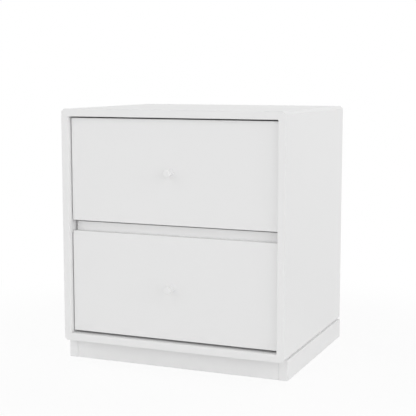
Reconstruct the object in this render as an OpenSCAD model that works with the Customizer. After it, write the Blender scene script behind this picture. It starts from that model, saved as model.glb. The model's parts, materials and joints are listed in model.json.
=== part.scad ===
// Nightstand: a mitred square case on a low plinth, with two inset drawers on ball runners.
// Lengths are in millimetres, +Z is up and the drawers open towards -Y.
// The origin is on the floor, in the middle of the footprint that includes the knobs.

/* [Case] */
// Width of the case
case_w = 468; // [400:1:540]
// Height of the case without its plinth
case_h = 468; // [420:1:560]
// Depth of the case
case_d = 390; // [350:1:460]
// Thickness of the four case panels
panel_t = 15; // [13:0.5:20]
// Width of the bevel along the four long corners
corner_bevel = 5.6; // [3:0.2:8]
// Thickness of the spline in each mitre
spline_t = 3; // [2:0.5:4]
// Width of the spline in each mitre
spline_w = 8; // [6:0.5:10]
// Distance from each end of the case to the ends of the splines
spline_end = 25; // [18:1:60]

/* [Back panel] */
// Thickness of the back panel
back_t = 8; // [5:0.5:12]
// How far the back panel lies inside the back edges of the case
back_inset = 1.5; // [0.5:0.5:4]
// Width of the rebate that holds the back panel
rebate_w = 8; // [7:0.5:9]
// Length of the back screws beyond the back panel
back_screw_grip = 17; // [10:1:25]
// Distance from the inside corners of the case to the back screws
back_screw_inset = 90; // [40:5:130]

/* [Divider] */
// Thickness of the divider board between the drawers
divider_t = 22; // [18:0.5:25]
// Gap from the upper drawer front down to the divider
divider_drop = 3.8; // [3:0.1:6]
// Gap between each end of the divider and the case
divider_end_gap = 3.2; // [1:0.1:4]
// Gap between the drawer fronts and the divider
divider_clear = 1; // [0.5:0.5:3]
// Gap between the divider and the back panel
divider_back_gap = 3; // [1:1:20]
// Diameter of the pins under the divider
pin_d = 5; // [4:0.5:6]
// Width of the flat tongue of each pin
pin_tongue_w = 9; // [7:0.5:14]
// Thickness of the flat tongue of each pin
pin_tongue_t = 2.5; // [1.5:0.5:3]
// How far each pin reaches under the divider
pin_reach = 8; // [5:0.5:10]
// Distance from the ends of the divider to the pins
pin_inset = 45; // [30:1:90]

/* [Plinth] */
// Height of the plinth
plinth_h = 40; // [30:1:80]
// How far the plinth's front lies behind the front of the case
plinth_setback = 21.3; // [10:0.1:50]
// How far the plinth's sides stand proud of the case
plinth_proud = 0.9; // [0:0.1:3]
// Thickness of the plinth boards
plinth_board_t = 18; // [14:0.5:24]
// How far the front board lies behind the ends of the side boards
plinth_front_step = 1; // [0.5:0.5:4]
// Side of the corner blocks
block_w = 32; // [26:1:45]
// Height of the corner blocks above the floor
block_lift = 4; // [2:1:12]

/* [Drawers] */
// How far the drawer fronts lie behind the front of the case
front_recess = 10; // [2:0.5:16]
// Thickness of the drawer fronts
front_t = 15; // [13:0.5:20]
// Gap beside each drawer front
front_side_gap = 2.1; // [1:0.1:3]
// Gap above the upper drawer front
front_top_gap = 2.9; // [2:0.1:6]
// Gap below the lower drawer front
front_bottom_gap = 4.7; // [3:0.1:8]
// Gap between the two drawer fronts
front_middle_gap = 21.6; // [18:0.1:24]
// Radius of the drawer fronts' corners
front_corner_r = 2.5; // [1:0.5:6]
// Thickness of the walls of the drawer box
box_wall_t = 12; // [10:0.5:16]
// Height of the drawer box above the lower edge of its front
box_lift = 8; // [4:1:20]
// Distance from the top of the drawer box up to the top of its front
box_drop = 40; // [20:1:80]
// How far the drawer box runs past its runners
box_overrun = 10; // [4:1:20]
// Thickness of the drawer bottom
bottom_t = 5; // [4:0.5:8]
// Height of the drawer bottom above the lower edge of its box
bottom_lift = 10; // [6:1:16]
// Depth of the groove that holds the drawer bottom
groove_depth = 5; // [3:0.5:7]
// Diameter of the dowels in the corners of the box
dowel_d = 6; // [5:0.5:7]
// Length of the dowels inside the front and back of the box
dowel_grip = 17; // [10:1:24]
// Distance from the edges of the box to the dowels and the front's screws
box_fixing_inset = 32; // [26:1:48]
// Distance from the sides of the box to the front's screws
front_screw_inset = 70; // [30:5:120]

/* [Knobs] */
// Diameter of the knob's head
knob_d = 15; // [12:0.5:24]
// Diameter of the knob where it meets the drawer front
knob_base_d = 11; // [9:0.5:20]
// How far the knob stands out of the drawer front
knob_len = 22; // [17:0.5:34]
// Radius of the rounded edge of the knob's head
knob_edge_r = 2; // [0.5:0.1:3]
// Length of the knob screw inside the knob
knob_screw_grip = 11; // [7:0.5:14]

/* [Runners] */
// Width of the space that a runner takes beside the drawer box
runner_space = 13; // [12:0.1:16]
// Height of the runners
runner_h = 44; // [40:1:54]
// Thickness of the runners' steel
steel_t = 1.2; // [0.8:0.1:1.5]
// Height of the space that the balls run in
ball_space = 4.4; // [3.4:0.1:5]
// Gap between the back of the drawer fronts and the runners
runner_front_gap = 2; // [1:0.5:10]
// Space behind the runners
rear_space = 53.5; // [25:0.5:90]
// Balls in each row of a cage
balls_in_row = 6; // [3:1:8]
// Thickness of the ball cages
cage_t = 1; // [0.6:0.1:1.4]
// Distance from the ends of the rails to their outer screws
rail_screw_inset = 35; // [20:1:60]

/* [Screws] */
// Diameter of the screws
screw_d = 3.6; // [3:0.1:4.2]
// Diameter of the flat heads of the runners' screws
pan_head_d = 7; // [6:0.1:8.5]
// Height of the flat heads of the runners' screws
pan_head_h = 1.6; // [1.2:0.1:2.2]
// Diameter of the sunk heads of the back screws
sunk_head_d = 6.6; // [5.5:0.1:7]
// Diameter of the screws that hold the plinth
plinth_screw_d = 4.5; // [3.5:0.1:6]
// Diameter of the sunk heads of the plinth screws
plinth_head_d = 9; // [7:0.1:11]
// Diameter of the knob screw
knob_screw_d = 4; // [3:0.5:5]
// Diameter of the heads of the screws inside the drawer
box_head_d = 8.5; // [7:0.1:10]
// Height of the heads of the screws inside the drawer
box_head_h = 2.4; // [1.6:0.1:3.2]
// Wood left beyond the point of each screw
screw_skin = 4; // [3:0.5:5]

/* [Hidden] */
$fn = 48;

// Clearances and small allowances
bore_clear = 0.1;     // round a screw, dowel or pin in its bore
tip_clear = 0.5;      // beyond the end of a screw, dowel, pin or spline
panel_clear = 0.3;    // at the edges of a panel in its groove or rebate
ball_clear = 0.3;     // between a ball and each rail
rail_clear = 0.6;     // between nested rails
lip_gap = 1.8;        // from the lips of the rails to the side of the box
cage_edge_gap = 0.5;  // from the edges of a cage to the edges of the rails that it runs between
cage_end_gap = 5;     // from the ends of a cage to the ends of the rails when the drawer is out
past = 1;             // how far a cut runs past an open face

// The case
half_w = case_w / 2;
base_z = plinth_h;
top_z = plinth_h + case_h;
middle_z = (base_z + top_z) / 2;
inner_x = half_w - panel_t;
inner_low = base_z + panel_t;
inner_high = top_z - panel_t;
knob_proud = max(0, knob_len - front_recess);
front_y = (knob_proud - case_d) / 2;
back_y = front_y + case_d;
back_panel_y = back_y - back_inset - back_t;
rebate_x = inner_x + rebate_w;
rebate_low = inner_low - rebate_w;
rebate_high = inner_high + rebate_w;
mitre_mid = (panel_t - corner_bevel / 2) / 2;

// The drawer fronts and the divider
face_y = front_y + front_recess;
box_y = face_y + front_t;
front_w = 2 * (inner_x - front_side_gap);
front_h = (inner_high - inner_low - front_top_gap - front_bottom_gap - front_middle_gap) / 2;
lower_z = inner_low + front_bottom_gap;
upper_z = lower_z + front_h + front_middle_gap;
divider_high = upper_z - divider_drop;
divider_low = divider_high - divider_t;
divider_x = inner_x - divider_end_gap;
divider_y = box_y + divider_clear;
divider_end_y = back_panel_y - divider_back_gap;

// The plinth
plinth_x = half_w + plinth_proud;
plinth_inner_x = plinth_x - plinth_board_t;
plinth_y = front_y + plinth_setback;
plinth_inner_y = plinth_y + plinth_front_step + plinth_board_t;
plinth_inner_back = back_y - plinth_board_t;

// The drawer boxes and the runners
runner_y = box_y + runner_front_gap;
runner_len = back_panel_y - rear_space - runner_y;
runner_end = runner_y + runner_len;
box_x = inner_x - runner_space;
box_inner_x = box_x - box_wall_t;
box_h = front_h - box_lift - box_drop;
box_end = runner_end + box_overrun;
web_gap = pan_head_h + rail_clear;
middle_web_x = inner_x - steel_t - web_gap;
lip_x = box_x + lip_gap;
drawer_lip_x = middle_web_x - steel_t - rail_clear;
middle_half_h = runner_h / 2 - steel_t - ball_space;
drawer_half_h = middle_half_h - steel_t - ball_space;
ball_d = ball_space - 2 * ball_clear;
cage_w = drawer_lip_x - lip_x - 2 * cage_edge_gap;
cage_len = runner_len / 2 - 2 * cage_end_gap;
dowel_side_grip = box_wall_t - screw_skin;

// Shapes that several pieces share

module slab(low, high) {
    translate(low)
        cube(high - low);
}

// Runs a section drawn in X and Z from one depth to another
module along_depth(from, to) {
    translate([0, to, 0])
        rotate([90, 0, 0])
            linear_extrude(to - from)
                children();
}

// Right-hand pieces are drawn, and left-hand ones are their mirror image
module one_side(side) {
    mirror([side < 0 ? 1 : 0, 0, 0])
        children();
}

module both_sides() {
    for (side = [-1, 1])
        one_side(side)
            children();
}

module rounded_rectangle(width, height, r) {
    square([width - 2 * r, height], center = true);
    square([width, height - 2 * r], center = true);
    for (x = [-1, 1], y = [-1, 1])
        translate([x * (width / 2 - r), y * (height / 2 - r)])
            circle(r);
}

// A screw along +Z with its flat head below the XY plane
module flat_screw(d, len, head_d, head_h) {
    translate([0, 0, -head_h])
        cylinder(d = head_d, h = head_h);
    translate([0, 0, -head_h / 2])
        cylinder(d = d, h = len + head_h / 2);
}

// A screw along +Z with its sunk head above the XY plane
module sunk_screw(d, len, head_d) {
    cylinder(d1 = head_d, d2 = d, h = (head_d - d) / 2);
    cylinder(d = d, h = len);
}

// A bore along +Z that starts a little before the XY plane
module bore(d, len) {
    translate([0, 0, -past])
        cylinder(d = d + 2 * bore_clear, h = len + past + tip_clear);
}

// The seat of a sunk screw, open on both sides of the XY plane
module sunk_bore(d, len, head_d) {
    bore(d, len);
    cylinder(d1 = head_d + 2 * bore_clear, d2 = d + 2 * bore_clear, h = (head_d - d) / 2);
}

// The case

// The section of a panel with mitred ends, its outer face on the X axis
module mitred_section(half_len) {
    polygon([
        [-half_len + corner_bevel, 0],
        [half_len - corner_bevel, 0],
        [half_len - corner_bevel / 2, -corner_bevel / 2],
        [half_len - panel_t, -panel_t],
        [-half_len + panel_t, -panel_t],
        [-half_len + corner_bevel / 2, -corner_bevel / 2]
    ]);
}

// The splines across the mitres, or their slots where room is left round them
module splines(room) {
    along_depth(front_y + spline_end - room, back_panel_y - spline_end + room)
        for (x = [-1, 1], z = [-1, 1])
            translate([x * (inner_x + mitre_mid), middle_z + z * (case_h / 2 - panel_t + mitre_mid)])
                rotate(-45 * x * z)
                    square([spline_w + 2 * room, spline_t + 2 * bore_clear * sign(room)], center = true);
}

module at_back_screws() {
    places = [
        [inner_x - back_screw_inset, rebate_high - rebate_w / 2],
        [rebate_x - rebate_w / 2, inner_high - back_screw_inset]
    ];
    for (x = [-1, 1], z = [-1, 1], place = places)
        translate([x * place[0], back_y - back_inset, middle_z + z * (place[1] - middle_z)])
            rotate([90, 0, 0])
                children();
}

module at_divider_pins() {
    for (y = [divider_y + pin_inset, divider_end_y - pin_inset])
        both_sides()
            translate([inner_x, y, divider_low - pin_d / 2])
                rotate([0, 90, 0])
                    children();
}

// Puts a screw through the web of each cabinet rail of one side, into the case
module at_cabinet_rail_screws() {
    for (z = [lower_z, upper_z], y = rail_screw_places())
        translate([inner_x - steel_t, y, runner_z(z)])
            rotate([0, 90, 0])
                children();
}

module at_plinth_screws() {
    for (x = [-1, 1], y = [plinth_inner_y + block_w / 2, plinth_inner_back - block_w / 2])
        translate([x * (plinth_inner_x - block_w / 2), y, block_lift])
            children();
}

module back_rebate() {
    slab([-rebate_x, back_panel_y, rebate_low], [rebate_x, back_y + past, rebate_high]);
}

// A case panel with its rebate, spline slots and back screw bores
module case_panel() {
    color("whitesmoke")
        difference() {
            along_depth(front_y, back_y)
                children();
            back_rebate();
            splines(tip_clear);
            at_back_screws()
                bore(screw_d, back_t + back_screw_grip);
        }
}

module top_panel() {
    case_panel()
        translate([0, top_z])
            mitred_section(half_w);
}

module bottom_panel() {
    difference() {
        case_panel()
            translate([0, base_z])
                mirror([0, 1])
                    mitred_section(half_w);
        at_plinth_screws()
            bore(plinth_screw_d, inner_low - screw_skin - block_lift);
    }
}

module side_panel(side) {
    one_side(side)
        difference() {
            case_panel()
                translate([half_w, middle_z])
                    rotate(-90)
                        mitred_section(case_h / 2);
            at_divider_pins()
                bore(pin_d, panel_t - screw_skin);
            at_cabinet_rail_screws()
                bore(screw_d, steel_t + panel_t - screw_skin);
        }
}

module mitre_splines() {
    color("burlywood")
        splines(0);
}

module back_panel() {
    color("whitesmoke")
        difference() {
            slab(
                [-rebate_x + panel_clear, back_panel_y, rebate_low + panel_clear],
                [rebate_x - panel_clear, back_panel_y + back_t, rebate_high - panel_clear]
            );
            at_back_screws()
                sunk_bore(screw_d, back_t + past, sunk_head_d);
        }
}

module back_screws() {
    color("silver")
        at_back_screws()
            sunk_screw(screw_d, back_t + back_screw_grip, sunk_head_d);
}

// The divider

module divider_board() {
    color("whitesmoke")
        slab([-divider_x, divider_y, divider_low], [divider_x, divider_end_y, divider_high]);
}

// Each pin is a round shank in the case with a flat tongue under the divider
module divider_pins() {
    tongue_len = divider_end_gap + pin_reach;
    color("silver")
        at_divider_pins() {
            cylinder(d = pin_d, h = panel_t - screw_skin);
            translate([-pin_d / 2, -pin_tongue_w / 2, -tongue_len])
                cube([pin_tongue_t, pin_tongue_w, tongue_len]);
            translate([0, 0, -tongue_len / 2])
                cylinder(d = pin_d, h = tongue_len / 2 + past);
        }
}

// The plinth

module plinth_front() {
    color("whitesmoke")
        slab(
            [-plinth_inner_x, plinth_y + plinth_front_step, 0],
            [plinth_inner_x, plinth_inner_y, plinth_h]
        );
}

module plinth_back() {
    color("whitesmoke")
        slab([-plinth_inner_x, plinth_inner_back, 0], [plinth_inner_x, back_y, plinth_h]);
}

module plinth_side(side) {
    color("whitesmoke")
        one_side(side)
            slab([plinth_inner_x, plinth_y, 0], [plinth_x, back_y, plinth_h]);
}

module plinth_blocks() {
    color("burlywood")
        difference() {
            both_sides()
                for (y = [plinth_inner_y, plinth_inner_back - block_w])
                    slab(
                        [plinth_inner_x - block_w, y, block_lift],
                        [plinth_inner_x, y + block_w, plinth_h]
                    );
            at_plinth_screws()
                sunk_bore(plinth_screw_d, plinth_h, plinth_head_d);
        }
}

module plinth_screws() {
    color("silver")
        at_plinth_screws()
            sunk_screw(plinth_screw_d, inner_low - screw_skin - block_lift, plinth_head_d);
}

// The runners, each for the drawer whose front starts at height z

function box_z(z) = z + box_lift;
function runner_z(z) = box_z(z) + box_h / 2;
function rail_screw_places() = [
    runner_y + rail_screw_inset,
    runner_y + runner_len / 2,
    runner_end - rail_screw_inset
];

// The section of a steel channel from its web to its lips
module channel(web_x, lips_x, half_h) {
    inside_x = web_x + sign(lips_x - web_x) * steel_t;
    polygon([
        [web_x, -half_h], [lips_x, -half_h], [lips_x, -half_h + steel_t], [inside_x, -half_h + steel_t],
        [inside_x, half_h - steel_t], [lips_x, half_h - steel_t], [lips_x, half_h], [web_x, half_h]
    ]);
}

module rail(z, side, web_x, lips_x, half_h) {
    color("silver")
        one_side(side)
            along_depth(runner_y, runner_end)
                translate([0, runner_z(z)])
                    channel(web_x, lips_x, half_h);
}

module cabinet_rail(z, side) {
    difference() {
        rail(z, side, inner_x, lip_x, runner_h / 2);
        one_side(side)
            at_cabinet_rail_screws()
                bore(screw_d, steel_t);
    }
}

module middle_rail(z, side) {
    rail(z, side, middle_web_x, lip_x, middle_half_h);
}

module drawer_rail(z, side) {
    difference() {
        rail(z, side, box_x, drawer_lip_x, drawer_half_h);
        one_side(side)
            at_drawer_rail_screws(z)
                bore(screw_d, steel_t);
    }
}

// Puts a screw through the web of the right-hand drawer rail, into the side of the box
module at_drawer_rail_screws(z) {
    for (y = rail_screw_places())
        translate([box_x + steel_t, y, runner_z(z)])
            rotate([0, -90, 0])
                children();
}

module cabinet_rail_screws() {
    color("silver")
        both_sides()
            at_cabinet_rail_screws()
                flat_screw(screw_d, steel_t + panel_t - screw_skin, pan_head_d, pan_head_h);
}

module drawer_rail_screws(z) {
    color("silver")
        both_sides()
            at_drawer_rail_screws(z)
                flat_screw(screw_d, steel_t + box_wall_t - screw_skin, pan_head_d, pan_head_h);
}

// A row of balls in a flat cage, above and below the middle of the runner on both sides
module ball_cages(z, row_x, row_z) {
    cage_y = runner_y + (runner_len - cage_len) / 2;
    pitch = cage_len / balls_in_row;
    color("lightsteelblue")
        both_sides()
            for (up = [-1, 1])
                translate([row_x, cage_y, runner_z(z) + up * row_z]) {
                    difference() {
                        translate([-cage_w / 2, 0, -cage_t / 2])
                            cube([cage_w, cage_len, cage_t]);
                        for (i = [0 : balls_in_row - 1])
                            translate([0, (i + 0.5) * pitch, -cage_t])
                                cylinder(d = ball_d + 2 * bore_clear, h = 2 * cage_t);
                    }
                    for (i = [0 : balls_in_row - 1])
                        translate([0, (i + 0.5) * pitch, 0])
                            sphere(d = ball_d);
                }
}

// The cages between the cabinet rails and the middle rails
module outer_ball_cages(z) {
    ball_cages(z, (middle_web_x + lip_x) / 2, middle_half_h + ball_space / 2);
}

// The cages between the middle rails and the drawer rails
module inner_ball_cages(z) {
    ball_cages(z, (drawer_lip_x + lip_x) / 2, drawer_half_h + ball_space / 2);
}

// The drawers, each with its front's lower edge at height z

module at_front_screws(z) {
    for (x = [-1, 1], up = [box_fixing_inset, box_h - box_fixing_inset])
        translate([x * (box_x - front_screw_inset), box_y + box_wall_t, box_z(z) + up])
            rotate([90, 0, 0])
                children();
}

module at_knob_screw(z) {
    translate([0, box_y + box_wall_t, z + front_h / 2])
        rotate([90, 0, 0])
            children();
}

// Puts a dowel at each corner of the box, from inside the wall outwards
module at_box_dowels(z) {
    both_sides()
        for (
            y = [box_y + box_wall_t / 2, box_end - box_wall_t / 2],
            up = [box_fixing_inset, box_h - box_fixing_inset]
        )
            translate([box_inner_x, y, box_z(z) + up])
                rotate([0, 90, 0])
                    children();
}

module dowel(room) {
    translate([0, 0, -dowel_grip - room])
        cylinder(d = dowel_d + 2 * bore_clear * sign(room), h = dowel_grip + dowel_side_grip + 2 * room);
}

// The drawer bottom, or its groove where room is left round its edges
module bottom_sheet(z, room) {
    reach = groove_depth - panel_clear + room;
    slab(
        [-box_inner_x - reach, box_y + box_wall_t - reach, box_z(z) + bottom_lift],
        [box_inner_x + reach, box_end - box_wall_t + reach, box_z(z) + bottom_lift + bottom_t]
    );
}

module drawer_front(z) {
    color("whitesmoke")
        difference() {
            along_depth(face_y, box_y)
                translate([0, z + front_h / 2])
                    rounded_rectangle(front_w, front_h, front_corner_r);
            at_front_screws(z)
                bore(screw_d, box_wall_t + front_t - screw_skin);
            at_knob_screw(z)
                bore(knob_screw_d, box_wall_t + front_t + past);
        }
}

module box_front(z) {
    color("whitesmoke")
        difference() {
            slab([-box_inner_x, box_y, box_z(z)], [box_inner_x, box_y + box_wall_t, box_z(z) + box_h]);
            bottom_sheet(z, panel_clear);
            at_front_screws(z)
                bore(screw_d, box_wall_t);
            at_knob_screw(z)
                bore(knob_screw_d, box_wall_t);
            at_box_dowels(z)
                dowel(tip_clear);
        }
}

module box_back(z) {
    color("whitesmoke")
        difference() {
            slab([-box_inner_x, box_end - box_wall_t, box_z(z)], [box_inner_x, box_end, box_z(z) + box_h]);
            bottom_sheet(z, panel_clear);
            at_box_dowels(z)
                dowel(tip_clear);
        }
}

module box_side(z, side) {
    color("whitesmoke")
        one_side(side)
            difference() {
                slab([box_inner_x, box_y, box_z(z)], [box_x, box_end, box_z(z) + box_h]);
                bottom_sheet(z, panel_clear);
                at_box_dowels(z)
                    dowel(tip_clear);
                at_drawer_rail_screws(z)
                    bore(screw_d, steel_t + box_wall_t - screw_skin);
            }
}

module drawer_bottom(z) {
    color("whitesmoke")
        bottom_sheet(z, 0);
}

module box_dowels(z) {
    color("burlywood")
        at_box_dowels(z)
            dowel(0);
}

module front_screws(z) {
    color("silver")
        at_front_screws(z)
            flat_screw(screw_d, box_wall_t + front_t - screw_skin, box_head_d, box_head_h);
}

module knob_screw(z) {
    color("silver")
        at_knob_screw(z)
            flat_screw(knob_screw_d, box_wall_t + front_t + knob_screw_grip, box_head_d, box_head_h);
}

// A knob that widens towards its head, which has a rounded edge
module knob(z) {
    head_r = knob_d / 2;
    color("whitesmoke")
        translate([0, face_y, z + front_h / 2])
            rotate([90, 0, 0])
                difference() {
                    rotate_extrude() {
                        polygon([
                            [0, 0],
                            [knob_base_d / 2, 0],
                            [head_r, knob_len - knob_edge_r],
                            [0, knob_len - knob_edge_r]
                        ]);
                        translate([head_r - knob_edge_r, knob_len - knob_edge_r])
                            circle(knob_edge_r);
                        square([head_r - knob_edge_r, knob_len]);
                    }
                    bore(knob_screw_d, knob_screw_grip);
                }
}

top_panel();
bottom_panel();
side_panel(-1);  // left_panel
side_panel(1);  // right_panel
mitre_splines();
back_panel();
back_screws();
divider_board();
divider_pins();
plinth_front();
plinth_back();
plinth_side(-1);  // plinth_left
plinth_side(1);  // plinth_right
plinth_blocks();
plinth_screws();
cabinet_rail(upper_z, -1);  // upper_left_cabinet_rail
cabinet_rail(upper_z, 1);  // upper_right_cabinet_rail
cabinet_rail(lower_z, -1);  // lower_left_cabinet_rail
cabinet_rail(lower_z, 1);  // lower_right_cabinet_rail
cabinet_rail_screws();
middle_rail(upper_z, -1);  // upper_left_middle_rail
middle_rail(upper_z, 1);  // upper_right_middle_rail
middle_rail(lower_z, -1);  // lower_left_middle_rail
middle_rail(lower_z, 1);  // lower_right_middle_rail
outer_ball_cages(upper_z);  // upper_outer_ball_cages
inner_ball_cages(upper_z);  // upper_inner_ball_cages
outer_ball_cages(lower_z);  // lower_outer_ball_cages
inner_ball_cages(lower_z);  // lower_inner_ball_cages
drawer_front(upper_z);  // upper_drawer_front
box_front(upper_z);  // upper_box_front
box_back(upper_z);  // upper_box_back
box_side(upper_z, -1);  // upper_left_side
box_side(upper_z, 1);  // upper_right_side
drawer_bottom(upper_z);  // upper_drawer_bottom
box_dowels(upper_z);  // upper_box_dowels
front_screws(upper_z);  // upper_front_screws
knob(upper_z);  // upper_knob
knob_screw(upper_z);  // upper_knob_screw
drawer_rail(upper_z, -1);  // upper_left_drawer_rail
drawer_rail(upper_z, 1);  // upper_right_drawer_rail
drawer_rail_screws(upper_z);  // upper_drawer_rail_screws
drawer_front(lower_z);  // lower_drawer_front
box_front(lower_z);  // lower_box_front
box_back(lower_z);  // lower_box_back
box_side(lower_z, -1);  // lower_left_side
box_side(lower_z, 1);  // lower_right_side
drawer_bottom(lower_z);  // lower_drawer_bottom
box_dowels(lower_z);  // lower_box_dowels
front_screws(lower_z);  // lower_front_screws
knob(lower_z);  // lower_knob
knob_screw(lower_z);  // lower_knob_screw
drawer_rail(lower_z, -1);  // lower_left_drawer_rail
drawer_rail(lower_z, 1);  // lower_right_drawer_rail
drawer_rail_screws(lower_z);  // lower_drawer_rail_screws
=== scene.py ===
# White lacquered nightstand: the looks of its pieces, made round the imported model
import json
import math
from contextlib import contextmanager

import bmesh
import bpy
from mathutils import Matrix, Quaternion, Vector


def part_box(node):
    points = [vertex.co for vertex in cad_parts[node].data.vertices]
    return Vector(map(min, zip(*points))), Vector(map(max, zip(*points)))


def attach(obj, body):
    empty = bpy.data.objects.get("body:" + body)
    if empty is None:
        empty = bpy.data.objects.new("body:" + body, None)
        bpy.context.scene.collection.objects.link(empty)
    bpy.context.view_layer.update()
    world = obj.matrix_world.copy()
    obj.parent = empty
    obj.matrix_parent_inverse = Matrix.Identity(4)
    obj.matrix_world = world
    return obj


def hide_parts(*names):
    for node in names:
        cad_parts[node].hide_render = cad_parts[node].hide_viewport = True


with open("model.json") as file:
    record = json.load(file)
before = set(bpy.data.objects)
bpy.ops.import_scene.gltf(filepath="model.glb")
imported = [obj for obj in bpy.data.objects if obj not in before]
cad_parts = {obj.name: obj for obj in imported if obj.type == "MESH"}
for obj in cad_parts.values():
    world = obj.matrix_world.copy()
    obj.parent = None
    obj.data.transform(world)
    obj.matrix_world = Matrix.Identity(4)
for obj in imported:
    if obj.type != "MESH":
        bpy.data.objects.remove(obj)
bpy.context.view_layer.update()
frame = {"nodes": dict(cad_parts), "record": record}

# Units, tolerances and ways, with X to the right, Y to the back and Z up
MM = 0.001
TINY = 0.01 * MM
MERGE_DISTANCE = 0.001 * MM
SORT_DIGITS = 5
FACING = 0.9
X = Vector((1, 0, 0))
Y = Vector((0, 1, 0))
Z = Vector((0, 0, 1))

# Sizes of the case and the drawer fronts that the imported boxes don't give
CORNER_BEVEL = 5.6 * MM
REBATE_W = 8 * MM
FRONT_CORNER_R = 2.5 * MM

# Easing of the edges
RIM_EASE = 0.4 * MM
MOUTH_EASE = 1.2 * MM
CREASE_EASE = 0.4 * MM
FRONT_EASE = 0.8 * MM
BACK_EASE = 0.4 * MM
BOARD_EASE = 0.5 * MM
PLINTH_EASE = 1.2 * MM
BOX_TOP_EASE = 2.0 * MM
ROUND_STEPS = 3
FINE_STEPS = 6
SLOT_STEPS = 12
CREASE_STEPS = 2
SMOOTH_ANGLE = math.radians(35)

# The knobs
KNOB_BASE_D = 11 * MM
KNOB_EDGE_R = 1 * MM
KNOB_EDGE_TURN = 80
KNOB_CROWN = 0.4 * MM
KNOB_CROWN_RINGS = (0.66, 0.33, 0.02)
KNOB_FLANK_STEPS = 4
KNOB_SIDES = 64

# The runners, with the places of the slots as shares of a rail's length
STEEL_T = 1.2 * MM
STEEL_EDGE = 0.2 * MM
SHARP_EDGE = math.radians(60)
BEND_R = 1.1 * MM
LIP_CURL = 1.2 * MM
SLOT_LENGTH = 14 * MM
SLOT_W = 4.6 * MM
SLOT_PLACES = (0.31, 0.69)
SLOT_CUT_DEPTH = 3 * STEEL_T

# The screws, with the cross in shares of the head's radius and its arms in shares of the cross
SCREW_D = 3.6 * MM
PLINTH_SCREW_D = 4.5 * MM
KNOB_SCREW_D = 4 * MM
RAIL_HEAD_H = 1.6 * MM
BOX_HEAD_H = 2.4 * MM
CROSS_W = 1.05
CROSS_DEPTH = 0.55
CROSS_ARM = 0.32
CROSS_TAPER = 0.55
SCREW_SIDES = 32
SCREW_TURN = math.radians(37)
SCREW_TIP = 0.1

# Rings of the screws' heads: depth below the top and radius, in shares of the head's height and radius
ROUND_TOP = ((0.45, 1), (0.2, 0.93), (0.05, 0.75), (0, 0.4))
FLAT_TOP = ((0.1, 1), (0.02, 1), (0, 0.95))

# The darker and the lighter tone of each white lacquer
CASE_WHITE = (0.862, 0.872)
# The divider's brighter white is painted light, lifting the shaded face of the recessed divider
DIVIDER_PAINTED_LIGHT_WHITE = (0.91, 0.92)

bodies = frame["record"]["behaviour"]["bodies"]
body_of = {node: body for body, nodes in bodies.items() for node in nodes}
slot_of = {part["node"]: part["material_slot"] for part in frame["record"]["subparts"]}
pieces = {}


# Finishes

class Wire:
    """A shader socket that can stand in a sum, so that a finish reads as an expression."""

    def __init__(self, tree, socket):
        self.tree = tree
        self.socket = socket

    def node(self, kind, settings=None, inputs=None, output=0):
        """Adds a node with its settings, then the values or links of its sockets."""
        made = self.tree.nodes.new("ShaderNode" + kind)
        for name, value in (settings or {}).items():
            setattr(made, name, value)
        for name, value in (inputs or {}).items():
            if isinstance(value, Wire):
                self.tree.links.new(value.socket, made.inputs[name])
            else:
                made.inputs[name].default_value = value
        return Wire(self.tree, made.outputs[output] if made.outputs else None)

    def math(self, operation, first, second):
        """One step of sums on two values or sockets."""
        return self.node("Math", {"operation": operation}, {0: first, 1: second})

    def __add__(self, other):
        return self.math("ADD", self, other)

    def __sub__(self, other):
        return self.math("SUBTRACT", self, other)

    def __rsub__(self, other):
        return self.math("SUBTRACT", other, self)

    def __mul__(self, other):
        return self.math("MULTIPLY", self, other)

    __radd__ = __add__
    __rmul__ = __mul__

    def at_most(self, other):
        """The smaller of this value and the other."""
        return self.math("MINIMUM", self, other)

    def between(self, low, high):
        """0 up to the value low and 1 from the value high, with a soft step."""
        settings = {"interpolation_type": "SMOOTHSTEP"}
        return self.node("MapRange", settings, {"Value": self, "From Min": low, "From Max": high})

    def blend(self, first, second):
        """The first colour where this value is 0 and the second where it is 1."""
        # Inputs 6 and 7 and output 2 are the colour ones of this node
        return self.node("Mix", {"data_type": "RGBA"}, {0: self, 6: first, 7: second}, output=2)

    def stretched(self, scale):
        """This place measured in other steps along X, Y and Z."""
        return self.node("Mapping", None, {"Vector": self, "Scale": scale})

    def noise(self, scale, detail=2.0, roughness=0.5):
        """A cloudy pattern at this place, from 0 to 1, with scale clouds to a metre."""
        inputs = {"Vector": self, "Scale": scale, "Detail": detail, "Roughness": roughness}
        return self.node("TexNoise", None, inputs)

    def cells(self, scale):
        """A pattern of small cells at this place, with scale cells to a metre."""
        return self.node("TexVoronoi", None, {"Vector": self, "Scale": scale})

    def bump(self, depth):
        """A normal from this height, where a height of 1 stands depth metres proud."""
        return self.node("Bump", None, {"Height": self, "Distance": depth})


def grey(value, warmth=0.0):
    """A near-grey colour, with a little more red and less blue where it is warm."""
    return (value + warmth, value, value - warmth, 1.0)


def new_finish(name):
    """A new material, and the Object coordinates that its patterns are drawn in."""
    material = bpy.data.materials.new(name)
    material.use_nodes = True
    tree = material.node_tree
    tree.nodes.clear()
    place = tree.nodes.new("ShaderNodeTexCoord").outputs["Object"]
    return material, Wire(tree, place)


def surface(place, **sockets):
    """Ends a finish in one Principled shader with these values or links."""
    inputs = {}
    for name, value in sockets.items():
        inputs[name.replace("_", " ").title().replace("Ior", "IOR")] = value
    shader = place.node("BsdfPrincipled", None, inputs)
    place.node("OutputMaterial", None, {"Surface": shader})


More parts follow.
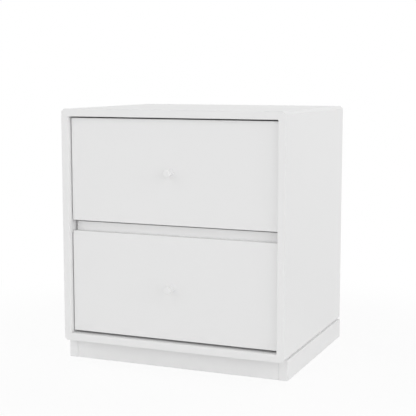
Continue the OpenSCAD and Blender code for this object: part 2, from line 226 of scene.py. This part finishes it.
def white_lacquer(name, low, high):
    """Satin sprayed lacquer: even white between two tones, with the fine ripple that spraying leaves."""
    material, place = new_finish(name)
    cloud = place.noise(6.0, detail=3.0)
    ripple = place.noise(420.0, detail=1.0)
    dust = place.noise(2600.0, detail=2.0)
    surface(
        place,
        base_color=cloud.blend(grey(low), grey(high, 0.0005)),
        roughness=0.52 + 0.08 * (place.noise(25.0, detail=4.0) - 0.5) + 0.04 * dust,
        specular_ior_level=0.35,
        normal=(ripple + 0.15 * dust).bump(0.012 * MM),
    )
    return material


def white_foil():
    """Matt white foil with a faint embossed grain along the depth of the piece."""
    material, place = new_finish("white_foil")
    grain = place.stretched((1.0, 0.06, 1.0)).noise(900.0, detail=3.0)
    pores = grain.between(0.58, 0.70)
    surface(
        place,
        base_color=(0.5 * pores).blend(grey(0.79, 0.002), grey(0.76, 0.003)),
        roughness=0.52 + 0.10 * (place.noise(30.0, detail=3.0) - 0.5) + 0.06 * pores,
        normal=(1 - pores).bump(0.02 * MM),
    )
    return material


def bare_beech():
    """Planed beech: pale brown with fine grain up the piece and short dark flecks."""
    material, place = new_finish("bare_beech")
    along = place.stretched((1.0, 1.0, 0.08))
    bands = along.noise(160.0, detail=3.0, roughness=0.6)
    flecks = place.stretched((1.0, 1.0, 0.22)).noise(1500.0, detail=1.0).between(0.62, 0.70)
    wood = bands.blend((0.62, 0.43, 0.26, 1.0), (0.73, 0.55, 0.36, 1.0))
    surface(
        place,
        base_color=(0.7 * flecks).blend(wood, (0.40, 0.25, 0.14, 1.0)),
        roughness=0.55 + 0.12 * (bands - 0.5),
        normal=(bands - 0.6 * flecks).bump(0.03 * MM),
    )
    return material


def zinc_plate():
    """Bright zinc on turned screws: soft spangle and a slight blue and yellow tint."""
    material, place = new_finish("zinc_plate")
    spangle = place.cells(1400.0)
    tint = place.noise(260.0, detail=2.0)
    rough = place.noise(3200.0, detail=2.0)
    surface(
        place,
        base_color=tint.blend((0.66, 0.68, 0.71, 1.0), (0.73, 0.71, 0.66, 1.0)),
        metallic=1.0,
        roughness=0.26 + 0.10 * spangle + 0.08 * rough,
        normal=rough.bump(0.01 * MM),
    )
    return material


def rolled_steel():
    """Zinc plated strip with rolling lines along its length and a dull, cloudy sheen."""
    material, place = new_finish("rolled_steel")
    lines = place.stretched((1.0, 0.012, 1.0)).noise(2200.0, detail=3.0)
    cloud = place.noise(70.0, detail=4.0, roughness=0.6)
    surface(
        place,
        base_color=cloud.blend((0.58, 0.60, 0.62, 1.0), (0.66, 0.66, 0.66, 1.0)),
        metallic=1.0,
        roughness=0.27 + 0.14 * lines + 0.10 * cloud,
        normal=lines.bump(0.012 * MM),
    )
    return material


def cage_steel():
    """Pressed cage strip and its balls: bright steel with a thin film of grease."""
    material, place = new_finish("cage_steel")
    film = place.noise(900.0, detail=3.0)
    surface(
        place,
        base_color=film.blend((0.50, 0.52, 0.54, 1.0), (0.60, 0.61, 0.61, 1.0)),
        metallic=1.0,
        roughness=0.16 + 0.18 * film,
        normal=film.bump(0.01 * MM),
    )
    return material


FINISHES = {
    "white_lacquer": white_lacquer("white_lacquer", *CASE_WHITE),
    "white_foil": white_foil(),
    "bare_beech": bare_beech(),
    "zinc_steel": zinc_plate(),
    "runner_steel": rolled_steel(),
    "cage_steel": cage_steel(),
}
# The divider's board is painted a brighter white than the case: painted light that lifts its recessed face
# out of the shade between the fronts
PAINTED_LIGHT_FINISHES = {"divider_board": white_lacquer("divider_lacquer", *DIVIDER_PAINTED_LIGHT_WHITE)}


# Modelling by hand, step by step

def near(first, second):
    """Whether two measures are the same, apart from rounding."""
    return abs(first - second) < TINY


def looks(normal, way):
    """Whether a face with this normal looks along a way."""
    return normal.dot(way) > FACING


def only_select(piece):
    """Selects one piece alone, so that operators act on nothing else."""
    bpy.ops.object.select_all(action="DESELECT")
    piece.select_set(True)
    bpy.context.view_layer.objects.active = piece


@contextmanager
def edit_mode(piece):
    """Opens a piece for work on its edges and faces."""
    only_select(piece)
    bpy.ops.object.mode_set(mode="EDIT")
    yield
    bpy.ops.object.mode_set(mode="OBJECT")


def pick_edges(piece, wanted):
    """Selects the edges whose two ends pass the test."""
    bpy.ops.mesh.select_mode(type="EDGE")
    bpy.ops.mesh.select_all(action="DESELECT")
    mesh = bmesh.from_edit_mesh(piece.data)
    for edge in mesh.edges:
        if wanted(edge.verts[0].co, edge.verts[1].co):
            edge.select_set(True)
    bmesh.update_edit_mesh(piece.data)


def pick_faces(piece, wanted):
    """Selects the faces whose middle and normal pass the test."""
    bpy.ops.mesh.select_mode(type="FACE")
    bpy.ops.mesh.select_all(action="DESELECT")
    mesh = bmesh.from_edit_mesh(piece.data)
    for face in mesh.faces:
        if wanted(face.calc_center_median(), face.normal):
            face.select_set(True)
    bmesh.update_edit_mesh(piece.data)


def bevel_selected(width, steps=ROUND_STEPS):
    """Rounds the selected edges off over a width."""
    bpy.ops.mesh.bevel(
        offset=width, offset_type="OFFSET", segments=steps, affect="EDGES", clamp_overlap=True
    )


def extrude_selected(move):
    """Pulls the selected faces out along a move."""
    bpy.ops.mesh.extrude_region_move(TRANSFORM_OT_translate={"value": move})


def cut_off(point, away):
    """Cuts the whole mesh at a plane, drops what lies beyond it and closes the cut."""
    bpy.ops.mesh.select_all(action="SELECT")
    bpy.ops.mesh.bisect(plane_co=point, plane_no=away, use_fill=True, clear_outer=True)


def apply_modifier(piece, kind, **settings):
    """Adds a modifier with its settings and applies it at once."""
    only_select(piece)
    modifier = piece.modifiers.new(kind.lower(), kind)
    for name, value in settings.items():
        setattr(modifier, name, value)
    bpy.ops.object.modifier_apply(modifier=modifier.name)


def cut_away(piece, cutter):
    """Takes a cutter's shape out of a piece, and the cutter out of the scene."""
    apply_modifier(piece, "BOOLEAN", operation="DIFFERENCE", object=cutter, solver="EXACT")
    bpy.data.objects.remove(cutter)


def shade(piece):
    """Rounded edges shade smoothly and large faces stay flat."""
    only_select(piece)
    bpy.ops.object.shade_smooth_by_angle(angle=SMOOTH_ANGLE)
    apply_modifier(piece, "WEIGHTED_NORMAL", keep_sharp=True)


def apply_place(piece):
    """Puts a piece's place, turn and scale into its mesh."""
    only_select(piece)
    bpy.ops.object.transform_apply(location=True, rotation=True, scale=True)


def named(piece, name):
    """Names a piece and its mesh."""
    piece.name = name
    piece.data.name = name
    return piece


def block(name, low, high):
    """A cuboid between two corners, the start of a board or a steel strip."""
    bpy.ops.object.select_all(action="DESELECT")
    bpy.ops.mesh.primitive_cube_add(size=1, location=(low + high) / 2)
    piece = named(bpy.context.object, name)
    piece.scale = high - low
    apply_place(piece)
    return piece


def turned(name, rings, sides):
    """A round piece about Z through rings of (height, radius), closed at both ends."""
    bpy.ops.object.select_all(action="DESELECT")
    height, radius = rings[0]
    start = (0, 0, height)
    bpy.ops.mesh.primitive_circle_add(vertices=sides, radius=radius, fill_type="NGON", location=start)
    piece = named(bpy.context.object, name)
    apply_place(piece)
    with edit_mode(piece):
        bpy.ops.mesh.select_all(action="SELECT")
        for next_height, next_radius in rings[1:]:
            extrude_selected((0, 0, next_height - height))
            share = next_radius / radius
            centre = (0, 0, next_height)
            bpy.ops.transform.resize(value=(share, share, 1), center_override=centre)
            height, radius = next_height, next_radius
        bpy.ops.mesh.select_all(action="SELECT")
        bpy.ops.mesh.normals_make_consistent(inside=False)
    return piece


def arc(centre, radius, start, end, steps):
    """Rings of (height, radius) along an arc, from one angle above the XY plane to another."""
    angles = [math.radians(start + (end - start) * i / steps) for i in range(steps + 1)]
    return [(centre[0] + radius * math.sin(a), centre[1] + radius * math.cos(a)) for a in angles]


def solid_boxes(node):
    """The lowest and highest corners of each separate solid of a node."""
    mesh = bmesh.new()
    mesh.from_mesh(frame["nodes"][node].data)
    bmesh.ops.remove_doubles(mesh, verts=mesh.verts, dist=MERGE_DISTANCE)
    left = set(mesh.verts)
    boxes = []
    while left:
        island = [left.pop()]
        for vert in island:
            for edge in vert.link_edges:
                other = edge.other_vert(vert)
                if other in left:
                    left.remove(other)
                    island.append(other)
        spans = [[vert.co[axis] for vert in island] for axis in range(3)]
        boxes.append((Vector([min(span) for span in spans]), Vector([max(span) for span in spans])))
    mesh.free()
    return sorted(boxes, key=lambda box: tuple(round(value, SORT_DIGITS) for value in box[0]))


def copied(piece, name):
    """A copy of a piece, with a mesh of its own."""
    only_select(piece)
    bpy.ops.object.duplicate()
    return named(bpy.context.object, name)


def copy_to(node, like, half_turn=False):
    """Copies the piece of a like node to a node's place, also turned half round an upright line."""
    piece = copied(pieces[like], pieces[like].name.replace(like, node))
    corner, far_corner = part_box(like)
    if half_turn:
        piece.rotation_euler = (0, 0, math.pi)
        corner = Vector((-far_corner.x, -far_corner.y, corner.z))
    piece.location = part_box(node)[0] - corner
    apply_place(piece)
    pieces[node] = piece


# The case

case_low = Vector((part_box("left_panel")[0].x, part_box("left_panel")[0].y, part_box("bottom_panel")[0].z))
case_high = Vector((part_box("right_panel")[1].x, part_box("right_panel")[1].y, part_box("top_panel")[1].z))


def case_panel(node, out):
    """A panel with mitred and bevelled ends whose outer face looks along out, rebated for the back."""
    low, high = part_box(node)
    along = X if out.z else Z
    ends = (-along, along)
    outer = max(low.dot(out), high.dot(out))
    inner = min(low.dot(out), high.dot(out))
    reaches = [max(case_low.dot(end), case_high.dot(end)) for end in ends]
    corners = [out * outer + end * reach for end, reach in zip(ends, reaches)]
    points = corners + [corner - out * (outer - inner) for corner in corners]
    rebate_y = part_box("back_panel")[0].y
    piece = block(
        f"{node}_mitred",
        Vector((min(point.x for point in points), low.y, min(point.z for point in points))),
        Vector((max(point.x for point in points), rebate_y, max(point.z for point in points))),
    )

    def lengthwise(y, height):
        return lambda a, b: all(near(end.y, y) and near(end.dot(out), height) for end in (a, b))

    def is_crease(a, b):
        if not (near(a.dot(out), outer) and near(b.dot(out), outer)):
            return False
        folds = [reach - CORNER_BEVEL for reach in reaches]
        return any(near(a.dot(end), fold) and near(b.dot(end), fold) for fold, end in zip(folds, ends))

    with edit_mode(piece):
        pick_faces(piece, lambda middle, normal: looks(normal, Y))
        bpy.ops.mesh.bisect(plane_co=out * (inner + REBATE_W), plane_no=out)
        pick_faces(piece, lambda middle, normal: looks(normal, Y) and middle.dot(out) > inner + REBATE_W)
        extrude_selected((0, high.y - rebate_y, 0))
        pick_edges(piece, lengthwise(low.y, inner))
        bevel_selected(MOUTH_EASE, FINE_STEPS)
        pick_edges(piece, lengthwise(low.y, outer))
        bevel_selected(RIM_EASE)
        for height in (inner + REBATE_W, outer):
            pick_edges(piece, lengthwise(high.y, height))
            bevel_selected(BACK_EASE)
        for corner, end in zip(corners, ends):
            cut_off(corner, end - out)
            cut_off(corner - end * CORNER_BEVEL, end + out)
        pick_edges(piece, is_crease)
        bevel_selected(CREASE_EASE, CREASE_STEPS)
    shade(piece)
    return piece


def eased_board(node, ease):
    """A plain board with all its edges eased."""
    piece = block(f"{node}_eased", *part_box(node))
    with edit_mode(piece):
        bpy.ops.mesh.select_all(action="SELECT")
        bevel_selected(ease)
    shade(piece)
    return piece


# The drawers

def drawer_front(node):
    """A front with small round corners, an eased face and lightly eased back edges."""
    low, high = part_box(node)
    piece = block(f"{node}_eased", low, high)
    with edit_mode(piece):
        pick_edges(piece, lambda a, b: not near(a.y, b.y))
        bevel_selected(FRONT_CORNER_R, FINE_STEPS)
        pick_edges(piece, lambda a, b: near(a.y, low.y) and near(b.y, low.y))
        bevel_selected(FRONT_EASE)
        pick_edges(piece, lambda a, b: near(a.y, high.y) and near(b.y, high.y))
        bevel_selected(BACK_EASE)
    shade(piece)
    return piece


def box_board(node):
    """A board of the drawer box, with a rounder upper edge."""
    low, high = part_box(node)
    piece = block(f"{node}_wrapped", low, high)
    long_axis = X if high.x - low.x > high.y - low.y else Y

    def upper_edge(a, b):
        is_long = abs((a - b).normalized().dot(long_axis)) > FACING
        return is_long and near(a.z, high.z) and near(b.z, high.z)

    with edit_mode(piece):
        pick_edges(piece, upper_edge)
        bevel_selected(BOX_TOP_EASE, FINE_STEPS)
    shade(piece)
    return piece


def knob(node):
    """A knob that widens towards its head, with a rounded edge and a slightly crowned end."""
    low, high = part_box(node)
    length = high.y - low.y
    head_r = (high.x - low.x) / 2
    base_r = KNOB_BASE_D / 2
    flank_end = length - KNOB_CROWN - KNOB_EDGE_R
    shares = [i / KNOB_FLANK_STEPS for i in range(KNOB_FLANK_STEPS)]
    flank = [(flank_end * share, base_r + (head_r - base_r) * share) for share in shares]
    edge = arc((flank_end, head_r - KNOB_EDGE_R), KNOB_EDGE_R, 0, KNOB_EDGE_TURN, FINE_STEPS)
    rise = length - edge[-1][0]
    crown = [(length - rise * share ** 2, edge[-1][1] * share) for share in KNOB_CROWN_RINGS]
    piece = turned(f"{node}_turned", flank + edge + crown, KNOB_SIDES)
    piece.rotation_euler = (math.radians(90), 0, 0)
    piece.location = ((low.x + high.x) / 2, high.y, (low.z + high.z) / 2)
    apply_place(piece)
    shade(piece)
    return piece


# The runners

def left_rail(node, on_drawer):
    """A left-hand steel channel with rounded bends, curled lips and slots in its web."""
    low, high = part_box(node)
    to_lips = -1 if on_drawer else 1
    lip_way = 1 if on_drawer else -1
    web_x = high.x if on_drawer else low.x
    lips_x = low.x if on_drawer else high.x
    web_face = web_x + to_lips * STEEL_T
    piece = block(
        f"{node}_rolled",
        Vector((min(web_x, web_face), low.y, low.z)),
        Vector((max(web_x, web_face), high.y, high.z)),
    )
    middle_z = (low.z + high.z) / 2
    flange_z = (high.z - low.z) / 2 - STEEL_T

    def is_flange_end(middle, normal):
        return looks(normal, X * to_lips) and abs(middle.z - middle_z) > flange_z

    def is_lip_side(middle, normal):
        faces_lip = normal.z * (middle.z - middle_z) * lip_way > 0
        return faces_lip and abs(normal.z) > FACING and abs(middle.x - lips_x) < STEEL_T

    def is_bend(a, b):
        corner = near(a.x, web_x) and near(b.x, web_x) and near(a.z, b.z)
        return corner and near(abs(a.z - middle_z), flange_z + STEEL_T)

    with edit_mode(piece):
        for z in (middle_z - flange_z, middle_z + flange_z):
            pick_faces(piece, lambda middle, normal: looks(normal, X * to_lips))
            bpy.ops.mesh.bisect(plane_co=(0, 0, z), plane_no=Z)
        pick_faces(piece, is_flange_end)
        extrude_selected((lips_x - web_face - to_lips * STEEL_T, 0, 0))
        extrude_selected((to_lips * STEEL_T, 0, 0))
        for half in (-1, 1):
            pick_faces(
                piece,
                lambda middle, normal: is_lip_side(middle, normal) and (middle.z - middle_z) * half > 0,
            )
            extrude_selected((0, 0, LIP_CURL * half * lip_way))
        pick_edges(piece, is_bend)
        bevel_selected(BEND_R, FINE_STEPS)
    for share in SLOT_PLACES:
        cut_slot(piece, Vector((web_x, low.y + (high.y - low.y) * share, middle_z)))
    apply_modifier(
        piece,
        "BEVEL",
        width=STEEL_EDGE,
        segments=CREASE_STEPS,
        limit_method="ANGLE",
        angle_limit=SHARP_EDGE,
    )
    shade(piece)
    return piece


def cut_slot(piece, centre):
    """Cuts a slot with round ends through a web, along the depth."""
    reach = Vector((SLOT_CUT_DEPTH, SLOT_LENGTH / 2, SLOT_W / 2))
    cutter = block("slot_cutter", centre - reach, centre + reach)
    with edit_mode(cutter):
        pick_edges(cutter, lambda a, b: not near(a.x, b.x))
        bevel_selected(SLOT_W / 2 - TINY, SLOT_STEPS)
    cut_away(piece, cutter)


# The screws

def cross_cutter(width, depth):
    """The tapered cross of a screwdriver's tip, pointing down from the XY plane."""
    half = CROSS_ARM * width / 2
    cutter = block("cross_cutter", Vector((-half, -half, -depth)), Vector((half, half, depth)))
    with edit_mode(cutter):
        for side in (X, -X, Y, -Y):
            pick_faces(cutter, lambda middle, normal: looks(normal, side) and middle.dot(side) > 0)
            extrude_selected(side * (width / 2 - half))
        pick_faces(cutter, lambda middle, normal: looks(normal, -Z))
        bpy.ops.transform.resize(value=(CROSS_TAPER, CROSS_TAPER, 1), center_override=(0, 0, -depth))
    return cutter


def shank(shank_r, length):
    """Rings of a screw's shank from its point up, with the top of the screw at height 0."""
    return [(-length, SCREW_TIP * shank_r), (-length + shank_r, shank_r)]


def top_rings(shares, head_r, head_h):
    """Rings of a head's top from shares of its height and radius."""
    return [(-depth * head_h, share * head_r) for depth, share in shares]


def round_head(shank_r, head_r, head_h):
    """Rings of a head with a flat seat and a rounded top."""
    seat = [(-head_h, shank_r), (-head_h, head_r)]
    return seat + top_rings(ROUND_TOP, head_r, head_h)


def sunk_head(shank_r, head_r, head_h):
    """Rings of a head with a sloping seat and a flat top."""
    return [(-head_h, shank_r)] + top_rings(FLAT_TOP, head_r, head_h)


def screws(node, head_way, head, shank_d, head_h=None):
    """The screws of a node: one is modelled, then copied to each place and turned a little further."""
    places = solid_boxes(node)
    half = (places[0][1] - places[0][0]) / 2
    across = [half[axis] for axis in range(3) if not head_way(half)[axis]]
    head_r = max(across)
    length = 2 * abs(half.dot(head_way(half)))
    height = head_h or head_r - shank_d / 2
    rings = shank(shank_d / 2, length) + head(shank_d / 2, head_r, height)
    first = turned(f"{node}_crossed", rings, SCREW_SIDES)
    cut_away(first, cross_cutter(CROSS_W * head_r, CROSS_DEPTH * head_r))
    shade(first)
    row = [first] + [copied(first, f"{node}_{index}") for index in range(1, len(places))]
    for index, (piece, (low, high)) in enumerate(zip(row, places)):
        middle = (low + high) / 2
        way = head_way(middle)
        piece.rotation_mode = "QUATERNION"
        piece.rotation_quaternion = Z.rotation_difference(way) @ Quaternion(Z, index * SCREW_TURN)
        piece.location = middle + way * length / 2
        apply_place(piece)
    bpy.ops.object.select_all(action="DESELECT")
    for piece in row:
        piece.select_set(True)
    bpy.context.view_layer.objects.active = first
    if len(row) > 1:
        bpy.ops.object.join()
    return first


def to_middle(middle):
    """The way to the middle of the cabinet, for a screw that is driven outwards."""
    return -X if middle.x > 0 else X


def from_middle(middle):
    """The way out of the cabinet's middle, for a screw that is driven inwards."""
    return -to_middle(middle)


def to_back(middle):
    """The way to the back, for a screw that is driven forwards."""
    return Y


def to_floor(middle):
    """The way down, for a screw that is driven upwards."""
    return -Z


# All the pieces: what the upper drawer has is modelled, then copied for the lower one

pieces["top_panel"] = case_panel("top_panel", Z)
pieces["bottom_panel"] = case_panel("bottom_panel", -Z)
pieces["left_panel"] = case_panel("left_panel", -X)
pieces["right_panel"] = case_panel("right_panel", X)
pieces["divider_board"] = eased_board("divider_board", BOARD_EASE)
for node in ("plinth_front", "plinth_back", "plinth_left"):
    pieces[node] = eased_board(node, PLINTH_EASE)
copy_to("plinth_right", "plinth_left")
pieces["back_screws"] = screws("back_screws", to_back, sunk_head, SCREW_D)
pieces["plinth_screws"] = screws("plinth_screws", to_floor, sunk_head, PLINTH_SCREW_D)
pieces["cabinet_rail_screws"] = screws(
    "cabinet_rail_screws", to_middle, round_head, SCREW_D, RAIL_HEAD_H
)

pieces["upper_drawer_front"] = drawer_front("upper_drawer_front")
pieces["upper_knob"] = knob("upper_knob")
for node in ("upper_box_front", "upper_box_back", "upper_left_side"):
    pieces[node] = box_board(node)
copy_to("upper_right_side", "upper_left_side")
pieces["upper_drawer_bottom"] = eased_board("upper_drawer_bottom", BACK_EASE)
for member in ("cabinet", "middle", "drawer"):
    node = f"upper_left_{member}_rail"
    pieces[node] = left_rail(node, member == "drawer")
    copy_to(f"upper_right_{member}_rail", node, half_turn=True)
for node, way, shank_d, head_h in (
    ("upper_front_screws", to_back, SCREW_D, BOX_HEAD_H),
    ("upper_knob_screw", to_back, KNOB_SCREW_D, BOX_HEAD_H),
    ("upper_drawer_rail_screws", from_middle, SCREW_D, RAIL_HEAD_H),
):
    pieces[node] = screws(node, way, round_head, shank_d, head_h)
for node in [node for node in pieces if node.startswith("upper_")]:
    copy_to(node.replace("upper_", "lower_"), node)

for node, piece in pieces.items():
    piece.data.materials.clear()
    piece.data.materials.append(PAINTED_LIGHT_FINISHES.get(node, FINISHES[slot_of[node]]))
    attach(piece, body_of[node])
    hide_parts(node)
for node, solid in frame["nodes"].items():
    if node not in pieces:
        solid.data.materials.clear()
        solid.data.materials.append(FINISHES[slot_of[node]])


# Camera, light and floor

CAMERA_PLACE = Vector((0.8226, -1.9785, 0.5718))
CAMERA_TURN = math.radians(22.51)
CAMERA_TILT = math.radians(7.255)
FOCAL_PIXELS = 1035.5
IMAGE_PIXELS = 416
SENSOR_MM = 36

# Each light: its turn from the front, its rise and its spread in degrees, and the level on a face
STUDIO_LEVEL = 0.54
LIGHTS = {
    "front_light": (22, 7, 36, 0.125),
    "left_light": (-24, 38, 26, 0.08),
    "front_left_light": (-45, 10, 60, 0.09),
    "right_light": (71, 14, 50, 0.25),
    "far_left_light": (-100, 22, 50, 0.2),
    "back_light": (160, 30, 60, 0.12),
}
FLOOR_SIZE = 30
FLOOR_TONE = 0.88
FLOOR_SHADOW = 0.14
SHADOW_REACH = (0.4, 0.9)


def camera():
    """A camera at the photograph's place and angle."""
    lens = bpy.data.cameras.new("camera")
    lens.sensor_width = SENSOR_MM
    lens.lens = SENSOR_MM * FOCAL_PIXELS / IMAGE_PIXELS
    holder = bpy.data.objects.new("camera", lens)
    holder.location = CAMERA_PLACE
    holder.rotation_euler = (math.pi / 2 - CAMERA_TILT, 0, CAMERA_TURN)
    bpy.context.scene.collection.objects.link(holder)
    bpy.context.scene.camera = holder


def soft_light(name, turn, rise, spread, level):
    """A wide, far light that lights a face square to it to this level, with its angles in degrees."""
    turn = math.radians(turn)
    rise = math.radians(rise)
    way = Vector((math.sin(turn) * math.cos(rise), -math.cos(turn) * math.cos(rise), math.sin(rise)))
    lamp = bpy.data.lights.new(name, "SUN")
    lamp.angle = math.radians(spread)
    lamp.energy = math.pi * level
    holder = bpy.data.objects.new(name, lamp)
    holder.location = way
    holder.rotation_euler = way.to_track_quat("Z", "Y").to_euler()
    bpy.context.scene.collection.objects.link(holder)


def seen_directly(start):
    """1 for what the camera sees, also in a mirror or through glass, and 0 for other light."""
    path = start.tree.nodes.new("ShaderNodeLightPath")
    kinds = ("Camera", "Glossy", "Transmission")
    seen, mirrored, through = [Wire(start.tree, path.outputs[f"Is {kind} Ray"]) for kind in kinds]
    return (seen + mirrored + through).at_most(1.0)


def studio():
    """An even white surround, seen as plain white."""
    world = bpy.data.worlds.new("studio")
    bpy.context.scene.world = world
    world.use_nodes = True
    world.node_tree.nodes.clear()
    start = Wire(world.node_tree, None)
    level = STUDIO_LEVEL + (1.0 - STUDIO_LEVEL) * seen_directly(start)
    white = start.node("Background", None, {"Color": grey(1.0), "Strength": level})
    start.node("OutputWorld", None, {"Surface": white})


def floor():
    """A pale floor that is seen as white and keeps a share of the shadow close to the object."""
    bpy.ops.object.select_all(action="DESELECT")
    bpy.ops.mesh.primitive_plane_add(size=FLOOR_SIZE)
    piece = bpy.context.object
    piece.name = "floor"
    material, place = new_finish("floor")
    seen = seen_directly(place)
    distance = place.node("VectorMath", {"operation": "LENGTH"}, {0: place}, output="Value")
    shadow = FLOOR_SHADOW * (1 - distance.between(*SHADOW_REACH))
    paint = place.node("BsdfDiffuse", None, {"Color": seen.blend(grey(FLOOR_TONE), grey(1.0))})
    white = place.node("Emission", None, {"Color": grey(1.0), "Strength": 1.0})
    mixed = place.node("MixShader", None, {0: seen * (1 - shadow), 1: paint, 2: white})
    place.node("OutputMaterial", None, {"Surface": mixed})
    piece.data.materials.append(material)


camera()
studio()
for name, light in LIGHTS.items():
    soft_light(name, *light)
floor()
bpy.context.scene.view_settings.view_transform = "Standard"
